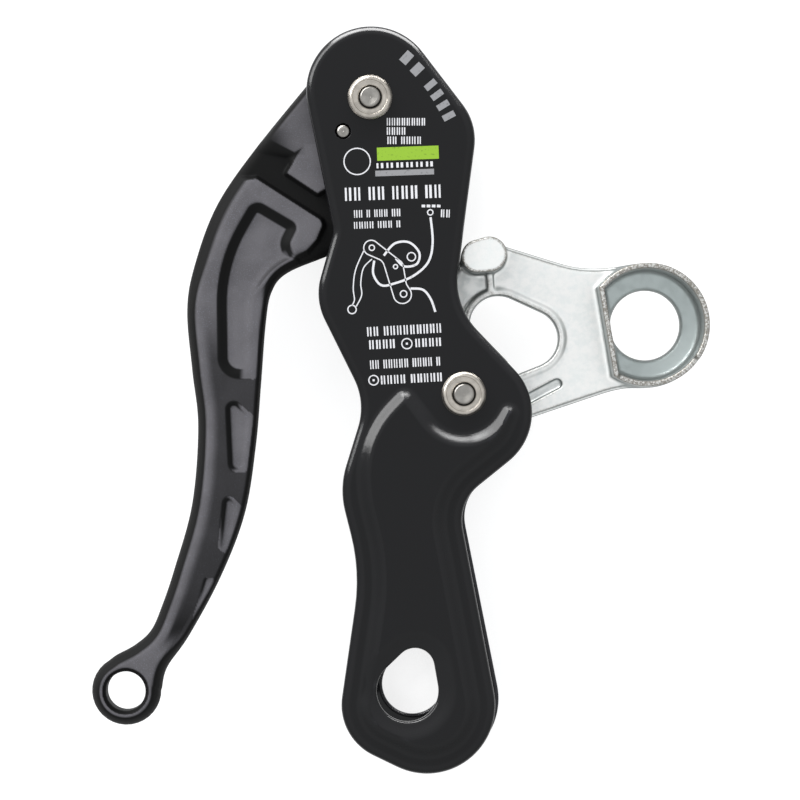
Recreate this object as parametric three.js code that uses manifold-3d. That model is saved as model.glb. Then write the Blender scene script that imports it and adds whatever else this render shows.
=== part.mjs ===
// A rope descender (belay device): two embossed aluminium side plates joined by two riveted
// axles, a long cast handle that turns on the upper axle, and a cast steel cam that swings on
// the lower one. Millimetres, +Z up. It lies on its back: the front plate faces +Z, the harness
// eye is towards -Y, the handle hangs to -X and the cam reaches to +X.
import * as THREE from "three";
import { mergeVertices } from "three/addons/utils/BufferGeometryUtils.js";
import Module from "manifold-3d";

const wasm = await Module();
wasm.setup();

// ---- driving dimensions ----
const PLATE = 3.5; // side plate thickness
const EMBOSS = 3; // how far the lower half of each plate is pressed outwards
const CHANNEL = 19; // clear height between the plates
const BACK_INNER = EMBOSS + PLATE; // z of the back plate's inner face
const FRONT_INNER = BACK_INNER + CHANNEL; // z of the front plate's inner face
const FRONT_FACE = FRONT_INNER + PLATE; // z of the front plate's flat face
const GAP = 0.3; // clearance kept between neighbouring pieces
const UPPER = { x: -10, y: 101 }; // upper axle, which carries the handle and the back plate
const LOWER = { x: 21.3, y: 2 }; // lower axle, which carries the cam
const SWING_RADIUS = Math.hypot(LOWER.x - UPPER.x, LOWER.y - UPPER.y);
const BACK_TURN = 0.5; // degrees that the back plate has swung past the front one
const AXLE_R = 3.4;
const AXLE_BOTTOM = 0.2;
const AXLE_TOP = FRONT_FACE + 2.9;
const WASHER_R = 7.5;
const SLEEVE_R = 5.5;
const BUSH_R = 7.2;
const HUB_BORE = BUSH_R + GAP;
const SPRING = { radius: 9.1, wire: 1.4, bottom: 17.2, turns: 3.5, pitch: 1.65 };
const SPRING_WELL = { r: 10.8, floor: 16 }; // room for the coil in each hub
const SPRING_ANCHOR_DEPTH = 2;
const HANDLE_SPRING_START = THREE.MathUtils.degToRad(21); // where each coil's foot stands
const CAM_SPRING_START = -Math.PI / 2;
const STOP_PIN = { x: -19, y: 89.7, r: 2.2, foot: 14 };
const HUB_BOTTOM = 8; // both hubs run between these heights
const HUB_TOP = 24;
const HUB_R = 19; // handle's hub
const ARM_BOTTOM = 11; // the handle's arm
const ARM_TOP = 22;
const POCKET_DEPTH = 1.8; // finger pockets in both faces of the arm
const VALLEY_DEPTH = 2.2; // step across the arm near its hub
const BORDER = 5.3; // flat border left round each plate's raised panel
const PANEL_SLOPE = 2.6; // run of the panel's sloping side
const DISH = { width: 6, depth: 2 }; // hollow that the harness eye sits in
const CAM_WEB_TOP = 13;
const CAM_TOP = FRONT_INNER - GAP; // top of the cam's post and rim
const CAM_EYE = { x: 83.2, y: 25.3, rim: 20.8, hole: 11.85, floor: 11 };
const RIM_WALL = 2.3; // wall of the drum round the cam's eye
const HANDLE_EYE = { x: -92.3, y: -98, rim: 11.7, hole: 6.7 };
const HANDLE_SWING = [-62, 3]; // degrees either side of the stored pose
const ARC_STEPS = 6; // half the straight steps in each arc of an outline
const ROUND = 36; // sides of a turned piece

// ---- looks ----
const finish = (color, roughness, metalness) =>
  new THREE.MeshStandardMaterial({ color, roughness, metalness });
const BLACK_PLATE = finish(0x262626, 0.35, 0.4);
const BLACK_CASTING = finish(0x3a3a3d, 0.55, 0.3);
const ZINC = finish(0xc4c8c6, 0.38, 0.9);
const RIVET_STEEL = finish(0xcfc8bd, 0.25, 0.95);
const SPRING_STEEL = finish(0x8f9194, 0.3, 0.95);
const BRONZE = finish(0xa9824f, 0.4, 0.9);
const NYLON = finish(0xdedcd2, 0.5, 0);

// ---- outlines ----
// An outline is a ring of circles [x, y, radius, side] joined by their common tangents, walked
// anticlockwise. Side 1 is a lobe that bulges out, and side -1 is a hollow.
const LOBE = 1;
const HOLLOW = -1;

function tangentAngle([x1, y1, r1, s1], [x2, y2, r2, s2]) {
  const apart = Math.hypot(x2 - x1, y2 - y1);
  return Math.atan2(y2 - y1, x2 - x1) - Math.asin((s2 * r2 - s1 * r1) / apart);
}

function ringOutline(circles, path = new THREE.Shape()) {
  circles.forEach((circle, i) => {
    const before = circles[(i + circles.length - 1) % circles.length];
    const after = circles[(i + 1) % circles.length];
    const [x, y, r, side] = circle;
    const turn = (-side * Math.PI) / 2; // from the walking direction to the touching point
    const start = tangentAngle(before, circle) + turn;
    const end = tangentAngle(circle, after) + turn;
    path.absarc(x, y, r, start, end, side === HOLLOW);
  });
  path.closePath();
  return path;
}

function disc(x, y, r) {
  return new THREE.Shape().absarc(x, y, r, 0, 2 * Math.PI, false);
}

// The side plates' outline.
const PLATE_RING = [
  [-9.7, 103.3, 21.7, LOBE], // head, round the upper axle
  [-30.7, 56.7, 8.3, HOLLOW], // where the handle comes out
  [-7.3, 35.7, 20, LOBE], // left shoulder
  [-34.8, -2.7, 21.7, HOLLOW], // left waist
  [9, -30.3, 28.3, LOBE],
  [-77.8, -60.7, 63.3, HOLLOW], // long shallow hollow on the left of the foot
  [-0.9, -102, 18.7, LOBE], // foot, left
  [9, -102.1, 22.9, LOBE], // foot, right
  [35.8, -40.3, 15, HOLLOW], // right waist
  [23.4, -4.3, 20.8, LOBE], // bulge round the lower axle
  [43.2, 40, 24, HOLLOW],
  [5.8, 87, 19.3, LOBE], // right shoulder
];

// The foot line of the raised panel: parallel to the plate's edge, with a dip below the axle.
const PANEL_RING = [
  [2.7, -4, 6.4, LOBE],
  [9, -30.3, 28.3 - BORDER, LOBE],
  [-77.8, -60.7, 63.3 + BORDER, HOLLOW],
  [-0.9, -102, 18.7 - BORDER, LOBE],
  [9, -102.1, 22.9 - BORDER, LOBE],
  [35.8, -40.3, 15 + BORDER, HOLLOW],
  [23.4, -4.3, 20.8 - BORDER, LOBE],
  [36.3, -4.4, 3.4, LOBE],
  [LOWER.x, LOWER.y, 12.8, HOLLOW], // dip that leaves room for the rivet washer
];

const HARNESS_EYE_RING = [
  [2.5, -97, 10.3, LOBE],
  [5, -89.3, 6.5, LOBE],
];

// The grip's two long sides, as the points that a smooth curve is drawn through.
const GRIP_OUTER = [
  [-29.5, 108.6], [-47.6, 86.4], [-61.6, 66.1], [-69.2, 46], [-71.9, 30.5], [-70.2, 10],
  [-68.2, -9], [-70.2, -35], [-76.2, -57], [-80.3, -69.2], [-84, -77.6], [-89.4, -82.6],
  [-95.6, -86], [-98.2, -87.9],
];
const GRIP_INNER = [
  [-80.4, -97.5], [-78.6, -90.2], [-71.2, -79.5], [-60.4, -59.4], [-52.3, -38], [-48.6, -15],
  [-46.9, 5.4], [-45.3, 26], [-43.3, 36.6], [-38, 42.9], [-24, 48.8], [-5, 57],
];

const CAM_RING = [
  [CAM_EYE.x, CAM_EYE.y, CAM_EYE.rim, LOBE],
  [65.8, 83.7, 39, HOLLOW], // top edge
  [29, 48.5, 5.5, LOBE], // under the post
  [23, 36, 8.5, LOBE], // limb hidden by the plates
  [LOWER.x, LOWER.y, 15, LOBE], // hub
  [82, -36.9, 41.2, HOLLOW], // bottom edge
];
const CAM_WINDOW_RING = [
  [43.9, 20.8, 9.7, LOBE],
  [33.4, 25.6, 9.7, LOBE],
  [34.9, 14.1, 6.8, LOBE],
];
const CAM_POST_RING = [
  [26.1, 48.2, 5.5, LOBE],
  [30, 48.9, 5.9, LOBE],
];

// The same ring with each circle grown outwards (or, if negative, shrunk) by an amount.
const grown = (ring, by) => ring.map(([x, y, r, side]) => [x, y, r + side * by, side]);

function gripOutline() {
  const points = (list) => list.map(([x, y]) => new THREE.Vector2(x, y));
  const { x, y, rim } = HANDLE_EYE;
  const [inX, inY] = GRIP_INNER[0];
  const [outX, outY] = GRIP_OUTER.at(-1);
  const from = Math.atan2(outY - y, outX - x);
  const to = Math.atan2(inY - y, inX - x);
  const shape = new THREE.Shape();
  shape.moveTo(...GRIP_OUTER[0]);
  shape.splineThru(points(GRIP_OUTER.slice(1)));
  shape.absarc(x, y, rim, from, to, false);
  shape.splineThru(points(GRIP_INNER.slice(1)));
  shape.absarc(UPPER.x, UPPER.y, HUB_R + 0.5, -0.6, 2.4, false);
  shape.closePath();
  return shape;
}

// ---- solids ----
function solid(geometry) {
  const bare = geometry.index ? geometry.toNonIndexed() : geometry.clone();
  bare.deleteAttribute("normal");
  bare.deleteAttribute("uv");
  const merged = mergeVertices(bare, 1e-4);
  const mesh = new wasm.Mesh({
    numProp: 3,
    vertProperties: merged.attributes.position.array,
    triVerts: new Uint32Array(merged.index.array),
  });
  return new wasm.Manifold(mesh);
}

function prism(shape, from, to, curveSegments = ARC_STEPS) {
  const geometry = new THREE.ExtrudeGeometry(shape, {
    depth: to - from,
    bevelEnabled: false,
    curveSegments,
  });
  return solid(geometry.translate(0, 0, from));
}

// A prism whose two rims are chamfered inwards: run across, rise up, in straight steps.
function softPrism(shape, from, to, run, rise, steps = 1) {
  const geometry = new THREE.ExtrudeGeometry(shape, {
    depth: to - from - 2 * rise,
    bevelEnabled: true,
    bevelSize: run,
    bevelOffset: -run,
    bevelThickness: rise,
    bevelSegments: steps,
    curveSegments: ARC_STEPS,
  });
  return solid(geometry.translate(0, 0, from + rise));
}

const rod = (x, y, r, from, to) => prism(disc(x, y, r), from, to, ROUND / 2);

// Turns a closed [radius, height] profile about a vertical line through (x, y).
function turned({ x, y }, profile) {
  const points = profile.map(([r, z]) => new THREE.Vector2(r, z));
  points.push(points[0].clone());
  const geometry = new THREE.LatheGeometry(points, ROUND);
  geometry.rotateX(Math.PI / 2); // lathes turn about +Y
  return solid(geometry.translate(x, y, 0));
}

// A ring segment of constant height, for slots cut round an axle. Angles are in degrees.
function arcSlot({ x, y }, inner, outer, fromAngle, toAngle, from, to) {
  const start = THREE.MathUtils.degToRad(fromAngle);
  const end = THREE.MathUtils.degToRad(toAngle);
  const shape = new THREE.Shape();
  shape.absarc(x, y, outer, start, end, false);
  shape.absarc(x, y, inner, end, start, true);
  shape.closePath();
  return prism(shape, from, to, 2 * ARC_STEPS);
}

function meshOf(name, manifold, material) {
  const { numProp, vertProperties, triVerts } = manifold.getMesh();
  const positions = new Float32Array((vertProperties.length / numProp) * 3);
  for (let i = 0; i * 3 < positions.length; i += 1) {
    positions.set(vertProperties.subarray(i * numProp, i * numProp + 3), i * 3);
  }
  const geometry = new THREE.BufferGeometry();
  geometry.setAttribute("position", new THREE.BufferAttribute(positions, 3));
  geometry.setIndex(new THREE.BufferAttribute(triVerts, 1));
  const mesh = new THREE.Mesh(geometry, material);
  mesh.name = name;
  return mesh;
}

// ---- side plates ----
// A plate with its inner face at z = 0 and its pressed panel standing out towards +z.
function plateBlank() {
  const slab = softPrism(ringOutline(PLATE_RING), 0, PLATE, 0.5, 0.5);
  const panel = (top) => {
    const foot = 0.2; // upright lip that is buried in the slab
    return softPrism(
      ringOutline(PANEL_RING), top - 2 * EMBOSS - foot, top, PANEL_SLOPE, EMBOSS,
    );
  };
  const eye = prism(ringOutline(HARNESS_EYE_RING), -1, PLATE + EMBOSS + 1);
  const dish = (face) => {
    const mouth = ringOutline(grown(HARNESS_EYE_RING, DISH.width));
    return softPrism(mouth, face - DISH.depth, face + DISH.depth, DISH.width - 1, DISH.depth - 0.1);
  };
  return slab
    .add(panel(PLATE + EMBOSS))
    .subtract(panel(EMBOSS))
    .add(dish(EMBOSS))
    .subtract(dish(PLATE + EMBOSS))
    .subtract(eye);
}

function frontPlate() {
  const bores = [
    rod(UPPER.x, UPPER.y, AXLE_R + GAP, -1, PLATE + 1),
    rod(LOWER.x, LOWER.y, AXLE_R + GAP, -1, PLATE + 1),
    rod(STOP_PIN.x, STOP_PIN.y, STOP_PIN.r + GAP, -1, PLATE + 1),
    rod(LOWER.x, LOWER.y + SPRING.radius, SPRING.wire / 2 + GAP, -1, SPRING_ANCHOR_DEPTH),
  ];
  const plate = bores.reduce((rest, bore) => rest.subtract(bore), plateBlank());
  const mesh = meshOf("front_plate", plate, BLACK_PLATE);
  mesh.position.z = FRONT_INNER;
  return mesh;
}

// The back plate swings on the upper axle. Its slot is an arc round that axle, open to the
// right edge, so the plate can slide off the lower axle.
function backPlate() {
  const turn = THREE.MathUtils.degToRad(BACK_TURN);
  const cos = Math.cos(turn);
  const sin = Math.sin(turn);
  const offset = [
    UPPER.x - cos * UPPER.x + sin * UPPER.y,
    UPPER.y - sin * UPPER.x - cos * UPPER.y,
  ];
  const swung = plateBlank().transform([
    cos, sin, 0, 0, -sin, cos, 0, 0, 0, 0, 1, 0, offset[0], offset[1], 0, 1,
  ]);
  const toLower = THREE.MathUtils.radToDeg(Math.atan2(LOWER.y - UPPER.y, LOWER.x - UPPER.x));
  const half = AXLE_R + GAP;
  const slot = arcSlot(
    UPPER, SWING_RADIUS - half, SWING_RADIUS + half, toLower, toLower + 30, -1, PLATE + 1,
  );
  const plate = swung
    .subtract(slot)
    .subtract(rod(LOWER.x, LOWER.y, half, -1, PLATE + 1))
    .subtract(rod(UPPER.x, UPPER.y, half, -1, PLATE + 1));
  const mesh = meshOf("back_plate", plate, BLACK_PLATE);
  mesh.scale.z = -1;
  mesh.position.z = BACK_INNER;
  return mesh;
}

// ---- axles and what turns on them ----
// A riveted axle: plain shank with a cone-shaped punch mark in each end.
function axle(name, at) {
  const dimple = 1.1;
  const profile = [
    [0, AXLE_BOTTOM + dimple], [2.2, AXLE_BOTTOM], [AXLE_R - 0.5, AXLE_BOTTOM], [AXLE_R, AXLE_BOTTOM + 0.5],
    [AXLE_R, AXLE_TOP - 0.5], [AXLE_R - 0.5, AXLE_TOP], [2.2, AXLE_TOP], [0, AXLE_TOP - dimple],
  ];
  return meshOf(name, turned(at, profile), RIVET_STEEL);
}

// A turned rivet washer: bevelled rim, a shallow step and a bore for the axle's end.
function rivetWasher(name, at, face, thickness, outward) {
  const bore = AXLE_R + 0.4;
  const step = [
    [bore, 0], [WASHER_R, 0], [WASHER_R, 0.45], [WASHER_R - 0.9, 1],
    [5.4, 1], [5.0, 0.78], [bore, 0.78],
  ];
  const profile = step.map(([r, h]) => [r, face + outward * h * thickness]);
  if (outward < 0) profile.reverse();
  return meshOf(name, turned(at, profile), RIVET_STEEL);
}

function tube(name, at, inner, outer, from, to, material) {
  const profile = [[inner, from], [outer, from], [outer, to], [inner, to]];
  return meshOf(name, turned(at, profile), material);
}

// A torsion spring: a vertical foot, the coil, and an arm that ends where its last point says.
function torsionSpring(name, at, startAngle, armPoints) {
  const { radius, wire, bottom, turns, pitch } = SPRING;
  const stepsPerTurn = 14;
  const footDepth = 3;
  const place = (angle, z) =>
    new THREE.Vector3(at.x + radius * Math.cos(angle), at.y + radius * Math.sin(angle), z);
  const points = [place(startAngle, bottom - footDepth), place(startAngle, bottom - 1)];
  for (let i = 1; i <= turns * stepsPerTurn; i += 1) {
    const angle = startAngle + (2 * Math.PI * i) / stepsPerTurn;
    points.push(place(angle, bottom + (pitch * i) / stepsPerTurn));
  }
  points.push(...armPoints);
  const geometry = new THREE.ExtrudeGeometry(disc(0, 0, wire / 2), {
    steps: points.length * 2,
    curveSegments: 4,
    bevelEnabled: false,
    extrudePath: new THREE.CatmullRomCurve3(points, false, "centripetal"),
  });
  return meshOf(name, solid(geometry), SPRING_STEEL);
}

// ---- handle ----
const HANDLE_POCKETS = [
  // the long upper pocket, with a notch at its top right
  [
    [-47.8, 62.2, 3.8, LOBE], [-8.9, 32.4, 52.4, LOBE], [-57.2, 14, 4, LOBE], [-49.8, 8.5, 1.5, LOBE],
    [-29.7, 29.4, 18, HOLLOW], [-36.3, 47.6, 1.2, LOBE], [-34, 52.4, 3.2, HOLLOW],
    [-37.6, 57.8, 2.4, LOBE],
  ],
  // three finger pockets that get smaller down the grip
  [[-57.3, -1.5, 2, LOBE], [-56, -21.8, 2.2, LOBE], [-52.6, -23, 1.2, LOBE], [-51.2, -4, 1.2, LOBE]],
  [[-58.1, -33.2, 1.8, LOBE], [-60.2, -47.6, 1.5, LOBE], [-59.2, -49.6, 1, LOBE], [-54.6, -34.2, 1.2, LOBE]],
  [[-63.9, -60.3, 1.3, LOBE], [-69.2, -73.2, 0.6, LOBE], [-63.1, -60.6, 1, LOBE]],
];

// A sunk step that crosses the arm between its hub and the grip, past a raised triangle.
const HANDLE_VALLEY = [
  [-64, 75], [-50.7, 73.9], [-48.4, 74.3], [-26.9, 60.5], [-26.2, 58.8], [-28.2, 54],
  [-31.6, 50.1], [-35.5, 48], [-34, 42], [-12, 50], [-16, 74], [-23.5, 72], [-27.7, 69.6],
  [-37.8, 76.3], [-32.1, 85.5], [-35.5, 83.6], [-44.1, 88], [-56, 97],
];

function handleBody() {
  const arm = softPrism(gripOutline(), ARM_BOTTOM, ARM_TOP, 1.8, 1.8, 2);
  const hub = rod(UPPER.x, UPPER.y, HUB_R, HUB_BOTTOM, HUB_TOP);
  const bore = rod(UPPER.x, UPPER.y, HUB_BORE, 0, FRONT_FACE);
  const well = rod(UPPER.x, UPPER.y, SPRING_WELL.r, SPRING_WELL.floor, FRONT_FACE);
  const eye = rod(HANDLE_EYE.x, HANDLE_EYE.y, HANDLE_EYE.hole, 0, FRONT_FACE);
  let body = arm.add(hub).subtract(bore).subtract(well).subtract(eye);
  for (const ring of HANDLE_POCKETS) {
    const pocket = ringOutline(ring);
    body = body.subtract(prism(pocket, ARM_TOP - POCKET_DEPTH, ARM_TOP + 1, 3));
    body = body.subtract(prism(pocket, ARM_BOTTOM - 1, ARM_BOTTOM + POCKET_DEPTH, 3));
  }
  const valley = new THREE.Shape(HANDLE_VALLEY.map(([x, y]) => new THREE.Vector2(x, y)));
  body = body.subtract(prism(valley, ARM_TOP - VALLEY_DEPTH, ARM_TOP + 1));
  body = body.subtract(prism(valley, ARM_BOTTOM - 1, ARM_BOTTOM + VALLEY_DEPTH));
  return body;
}

// The slot that the stop pin runs in, and the window that lets the spring's arm reach the pin.
function handleStopSlot() {
  const across = STOP_PIN.x - UPPER.x;
  const up = STOP_PIN.y - UPPER.y;
  const radius = Math.hypot(across, up);
  const pinAngle = THREE.MathUtils.radToDeg(Math.atan2(up, across));
  const from = pinAngle - HANDLE_SWING[1];
  const to = pinAngle - HANDLE_SWING[0];
  const half = STOP_PIN.r + GAP;
  const floor = STOP_PIN.foot - 1;
  const ends = [from, to].map((angle) => {
    const a = THREE.MathUtils.degToRad(angle);
    const x = UPPER.x + radius * Math.cos(a);
    const y = UPPER.y + radius * Math.sin(a);
    return rod(x, y, half, floor, FRONT_FACE);
  });
  const slot = arcSlot(UPPER, radius - half, radius + half, from, to, floor, FRONT_FACE);
  const window = arcSlot(UPPER, BUSH_R + 2, radius + half, from - 42, to + 25, 21.2, FRONT_FACE);
  return ends.reduce((all, end) => all.add(end), slot).add(window);
}

function springFootHole(at, angle) {
  const x = at.x + SPRING.radius * Math.cos(angle);
  const y = at.y + SPRING.radius * Math.sin(angle);
  const hole = SPRING.wire / 2 + GAP;
  return rod(x, y, hole, SPRING.bottom - 4, FRONT_FACE);
}

function handle() {
  const body = handleBody()
    .subtract(handleStopSlot())
    .subtract(springFootHole(UPPER, HANDLE_SPRING_START));
  return meshOf("handle", body, BLACK_CASTING);
}

// ---- cam ----
// The flat side of the cam's D-shaped drum, as the two points where it meets the rim.
const DRUM_FLAT = { top: [66.6, 38.6], bottom: [71.8, 7.8] };

// The drum's round outline cut straight on its inner side, shrunk by an amount.
function drumOutline(shrink) {
  const { x, y, rim } = CAM_EYE;
  const r = rim - shrink;
  const [[x1, y1], [x2, y2]] = [DRUM_FLAT.top, DRUM_FLAT.bottom];
  const length = Math.hypot(x2 - x1, y2 - y1);
  const normal = [(y1 - y2) / length, (x2 - x1) / length]; // points into the drum
  const away = (x - x1) * normal[0] + (y - y1) * normal[1] - shrink; // centre to flat
  const middle = Math.atan2(-normal[1], -normal[0]);
  const half = Math.acos(away / r);
  const shape = new THREE.Shape();
  shape.absarc(x, y, r, middle + half, middle + 2 * Math.PI - half, false);
  shape.closePath();
  return shape;
}

function camBody() {
  const web = softPrism(ringOutline(CAM_RING), HUB_BOTTOM, CAM_WEB_TOP, 1, 1);
  const lip = prism(ringOutline(grown(CAM_WINDOW_RING, 2)), CAM_WEB_TOP - 1, CAM_WEB_TOP + 1);
  const hub = rod(LOWER.x, LOWER.y, 15, HUB_BOTTOM, HUB_TOP);
  const post = prism(ringOutline(CAM_POST_RING), HUB_BOTTOM + 1, CAM_TOP);
  const drum = prism(drumOutline(0), HUB_BOTTOM + 1, CAM_TOP, 40);
  const cuts = [
    prism(drumOutline(RIM_WALL), CAM_EYE.floor, FRONT_FACE, 40),
    rod(CAM_EYE.x, CAM_EYE.y, CAM_EYE.hole, 0, FRONT_FACE),
    arcSlot(CAM_EYE, CAM_EYE.rim - RIM_WALL - 1, CAM_EYE.rim + 2, 240, 326, CAM_TOP - 2, FRONT_FACE),
    prism(ringOutline(CAM_WINDOW_RING), 0, FRONT_FACE),
    prism(ringOutline([[52, 4.6, 1.5, LOBE], [40, -1, 1.5, LOBE]]), CAM_WEB_TOP - 1, FRONT_FACE),
    rod(LOWER.x, LOWER.y, HUB_BORE, 0, FRONT_FACE),
    rod(LOWER.x, LOWER.y, SPRING_WELL.r, SPRING_WELL.floor, FRONT_FACE),
    springFootHole(LOWER, CAM_SPRING_START),
  ];
  const whole = [lip, hub, post, drum].reduce((all, piece) => all.add(piece), web);
  return cuts.reduce((rest, cut) => rest.subtract(cut), whole);
}

// ---- assembly ----
function bearingSet(prefix, at) {
  return [
    tube(`${prefix}_sleeve`, at, AXLE_R + GAP, SLEEVE_R, BACK_INNER + GAP, FRONT_INNER - GAP, RIVET_STEEL),
    tube(`${prefix}_bush`, at, SLEEVE_R + GAP, BUSH_R, HUB_BOTTOM, HUB_TOP, BRONZE),
    tube(`${prefix}_thrust_ring_front`, at, SLEEVE_R + GAP, 7.9, HUB_TOP + GAP, FRONT_INNER - GAP, NYLON),
    tube(`${prefix}_thrust_ring_back`, at, SLEEVE_R + GAP, 12, BACK_INNER + GAP, HUB_BOTTOM - GAP, NYLON),
  ];
}

function stopPin() {
  const { x, y, r, foot } = STOP_PIN;
  const top = FRONT_FACE + 0.7;
  const profile = [
    [0, foot], [r - 0.4, foot], [r, foot + 0.4], [r, top - 0.6], [r - 0.6, top - 0.1], [0, top],
  ];
  return meshOf("stop_pin", turned({ x, y }, profile), RIVET_STEEL);
}

// A dished spring washer that presses the back plate lightly against its axle.
function dishedWasher() {
  const inner = AXLE_R + 0.4;
  const profile = [[inner, 2.25], [6.6, 2.45], [6.6, 2.75], [inner, 2.55]];
  return meshOf("plate_spring_washer", turned(UPPER, profile), SPRING_STEEL);
}

// Its arm leaves the coil in a straight line and passes on the far side of the stop pin.
function handleSpring() {
  const { radius, bottom, turns, pitch } = SPRING;
  const leaves = HANDLE_SPRING_START + turns * 2 * Math.PI;
  const arm = [4.5, 9, 13].map((along) => new THREE.Vector3(
    UPPER.x + radius * Math.cos(leaves) - along * Math.sin(leaves),
    UPPER.y + radius * Math.sin(leaves) + along * Math.cos(leaves),
    bottom + turns * pitch,
  ));
  return torsionSpring("handle_spring", UPPER, HANDLE_SPRING_START, arm);
}

// Its upper end turns up into a blind hole in the front plate.
function camSpring() {
  const end = new THREE.Vector3(LOWER.x, LOWER.y + SPRING.radius, FRONT_INNER);
  const up = [end.clone().setZ(FRONT_INNER - 0.8), end.clone().setZ(FRONT_INNER + 1.4)];
  return torsionSpring("cam_spring", LOWER, CAM_SPRING_START, up);
}

const descender = new THREE.Group();
descender.add(
  frontPlate(),
  backPlate(),
  handle(),
  meshOf("swing_cam", camBody(), ZINC),
  axle("upper_axle", UPPER),
  axle("lower_axle", LOWER),
  rivetWasher("upper_washer_front", UPPER, FRONT_FACE + GAP, 2, 1),
  rivetWasher("lower_washer_front", LOWER, FRONT_FACE + GAP, 2, 1),
  rivetWasher("upper_washer_back", UPPER, 2, 1.6, -1),
  rivetWasher("lower_washer_back", LOWER, EMBOSS - GAP, 2, -1),
  dishedWasher(),
  ...bearingSet("handle", UPPER),
  ...bearingSet("cam", LOWER),
  stopPin(),
  handleSpring(),
  camSpring(),
);

export default descender;
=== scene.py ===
import math
import random

import bpy
import numpy as np
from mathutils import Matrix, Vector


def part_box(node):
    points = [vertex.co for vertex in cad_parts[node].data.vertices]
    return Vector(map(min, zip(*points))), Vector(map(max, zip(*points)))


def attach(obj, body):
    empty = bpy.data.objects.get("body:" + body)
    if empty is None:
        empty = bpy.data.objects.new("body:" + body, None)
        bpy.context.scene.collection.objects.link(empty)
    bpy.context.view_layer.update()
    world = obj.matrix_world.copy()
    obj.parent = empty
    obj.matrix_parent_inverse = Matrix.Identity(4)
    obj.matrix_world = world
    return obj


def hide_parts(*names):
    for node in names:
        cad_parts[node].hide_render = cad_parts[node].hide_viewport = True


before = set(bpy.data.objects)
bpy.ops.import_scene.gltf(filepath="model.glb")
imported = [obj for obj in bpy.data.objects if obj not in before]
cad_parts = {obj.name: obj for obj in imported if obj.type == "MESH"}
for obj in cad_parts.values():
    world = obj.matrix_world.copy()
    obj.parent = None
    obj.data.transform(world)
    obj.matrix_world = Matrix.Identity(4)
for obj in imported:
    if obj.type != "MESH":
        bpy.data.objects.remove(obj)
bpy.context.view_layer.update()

import openvdb
from mathutils import Vector

MM = 0.001
LOBE, HOLLOW = 1, -1  # which way a circle of an outline bulges
PLATE_STEP = 0.5  # spacing of the sample points for the plates
CAST_STEP = 0.4  # and for the handle and the cam
EDGE_GAIN = 25  # how fast the edge mark rises as a surface gets more convex


def centre(node):
    low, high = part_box(node)
    return (low + high) / 2 / MM


def top(node):
    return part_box(node)[1].z / MM


def bottom(node):
    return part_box(node)[0].z / MM


# ---- driving dimensions ----
UPPER = centre("upper_axle")
LOWER = centre("lower_axle")
PIN = centre("stop_pin")
EMBOSS = 3.0  # how far the plates' lower halves are pressed outwards
PLATE = top("front_plate") - bottom("front_plate") - EMBOSS
FRONT_FACE = top("front_plate") - EMBOSS
BACK_TURN = math.radians(0.5)  # the back plate sits this much off the front one
PANEL_SLOPE = 4.6  # run of the pressed panel's side
CHAMFER, CHAMFER_TILT = 2.2, math.radians(36)  # bevel round each plate's outer face
DISH_WIDTH, DISH_DEPTH = 6.5, 2.2  # hollow round the harness eye
DISH_FLOOR = 0.4  # least height of the dish above the plate's flat face
SLOT_HALF = 3.7  # half the width of the back plate's slot for the lower axle
PIN_HOLE = 2.5  # radius of the hole and of the slot for the stop pin
INK_LAYER = (FRONT_FACE - 0.01, FRONT_FACE + 0.06)  # bottom and top of the print

ARM_LOW, ARM_HIGH = 11.0, 22.0  # heights of the handle's grip
GRIP_BORDER = 2.7  # leaning border round the grip
GRIP_FLAT = 3  # level strip between the border and the fall of the face
GRIP_FALL = 1.8  # how much lower the grip's face is on the finger side
POCKET_LEANS = (3.9, 2.0, 2.0, 1.0)  # run of each pocket's wall
VALLEY_DEPTH, VALLEY_EDGE = 2.2, 1.6  # the sunk step's depth, and the run of its edge
POCKET_FLOOR = 20.0
# fades along the handle: (y where it starts, run up or down)
FALL_TOP, FALL_FOOT = (46, -14), (-88, 12)
BORDER_WIDENS, BORDER_NARROWS = (28, 26), (82, 8)
VALLEY_SOFTENS = (79, 5)
STRIP_TOP, STRIP_FOOT = (34, -22), (-86, 9)
STRIP_EDGE, STRIP_SHADE = (4.2, 3.6), 0.72  # where the painted shade beside the border's painted highlight strip starts, and how dark it gets
FLAT_FROM = (0.88, 0.1)  # how level a surface is before it gets the painted sheen of light from above
HANDLE_EYE = (-92.3, -98.0)
HANDLE_EYE_RIM, HANDLE_EYE_HOLE = 11.7, 6.6

CAM_LOW, CAM_WEB, CAM_TOP = bottom("swing_cam"), 13.0, top("swing_cam")
CAM_EYE = (83.2, 25.3)
CAM_EYE_RIM, CAM_EYE_HOLE = 20.7, 11.8
CAM_FLASH, CAM_DRAFT = 2.2, 0.9  # height of the parting line, and the web's step in above it
WEB_SUNK = 1.3  # how much thinner the web is left of the rib
LIP_OUT, LIP_THICK = 1.15, 1.35  # raised bead round the window: how far out, and its radius
RIB_HALF, RIB_RISE = 1.1, 1.2
GROOVE_HALF, GROOVE_DEPTH = 1.75, 1.4
DRUM_WALL, DRUM_LEAN = 2.3, -0.6  # thickness of the drum's rim, and the run of its inner wall
DRUM_FLOOR, DRUM_FLOOR_RISE = 10.8, 0.34  # height beside the eye, and its slope outwards
DRUM_STEP, DRUM_STEP_FROM, DRUM_STEP_TO = 2.0, 238, 328  # lower stretch of the rim, in degrees
DRUM_STEP_LOW = 15  # the step leaves what is below this height alone
HUB_LOW, HUB_HIGH = bottom("handle_bush"), top("handle_bush")
HANDLE_HUB, CAM_HUB = 19, 15  # radii
HUB_BORE = 7.5
PIN_SLOT_FLOOR = 13  # height down to which the handle is cut for the stop pin
WINDOW_ARC, WINDOW_HALF, WINDOW_FLOOR = 13, 3.9, 21.2  # room in the handle for its spring's arm
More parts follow.
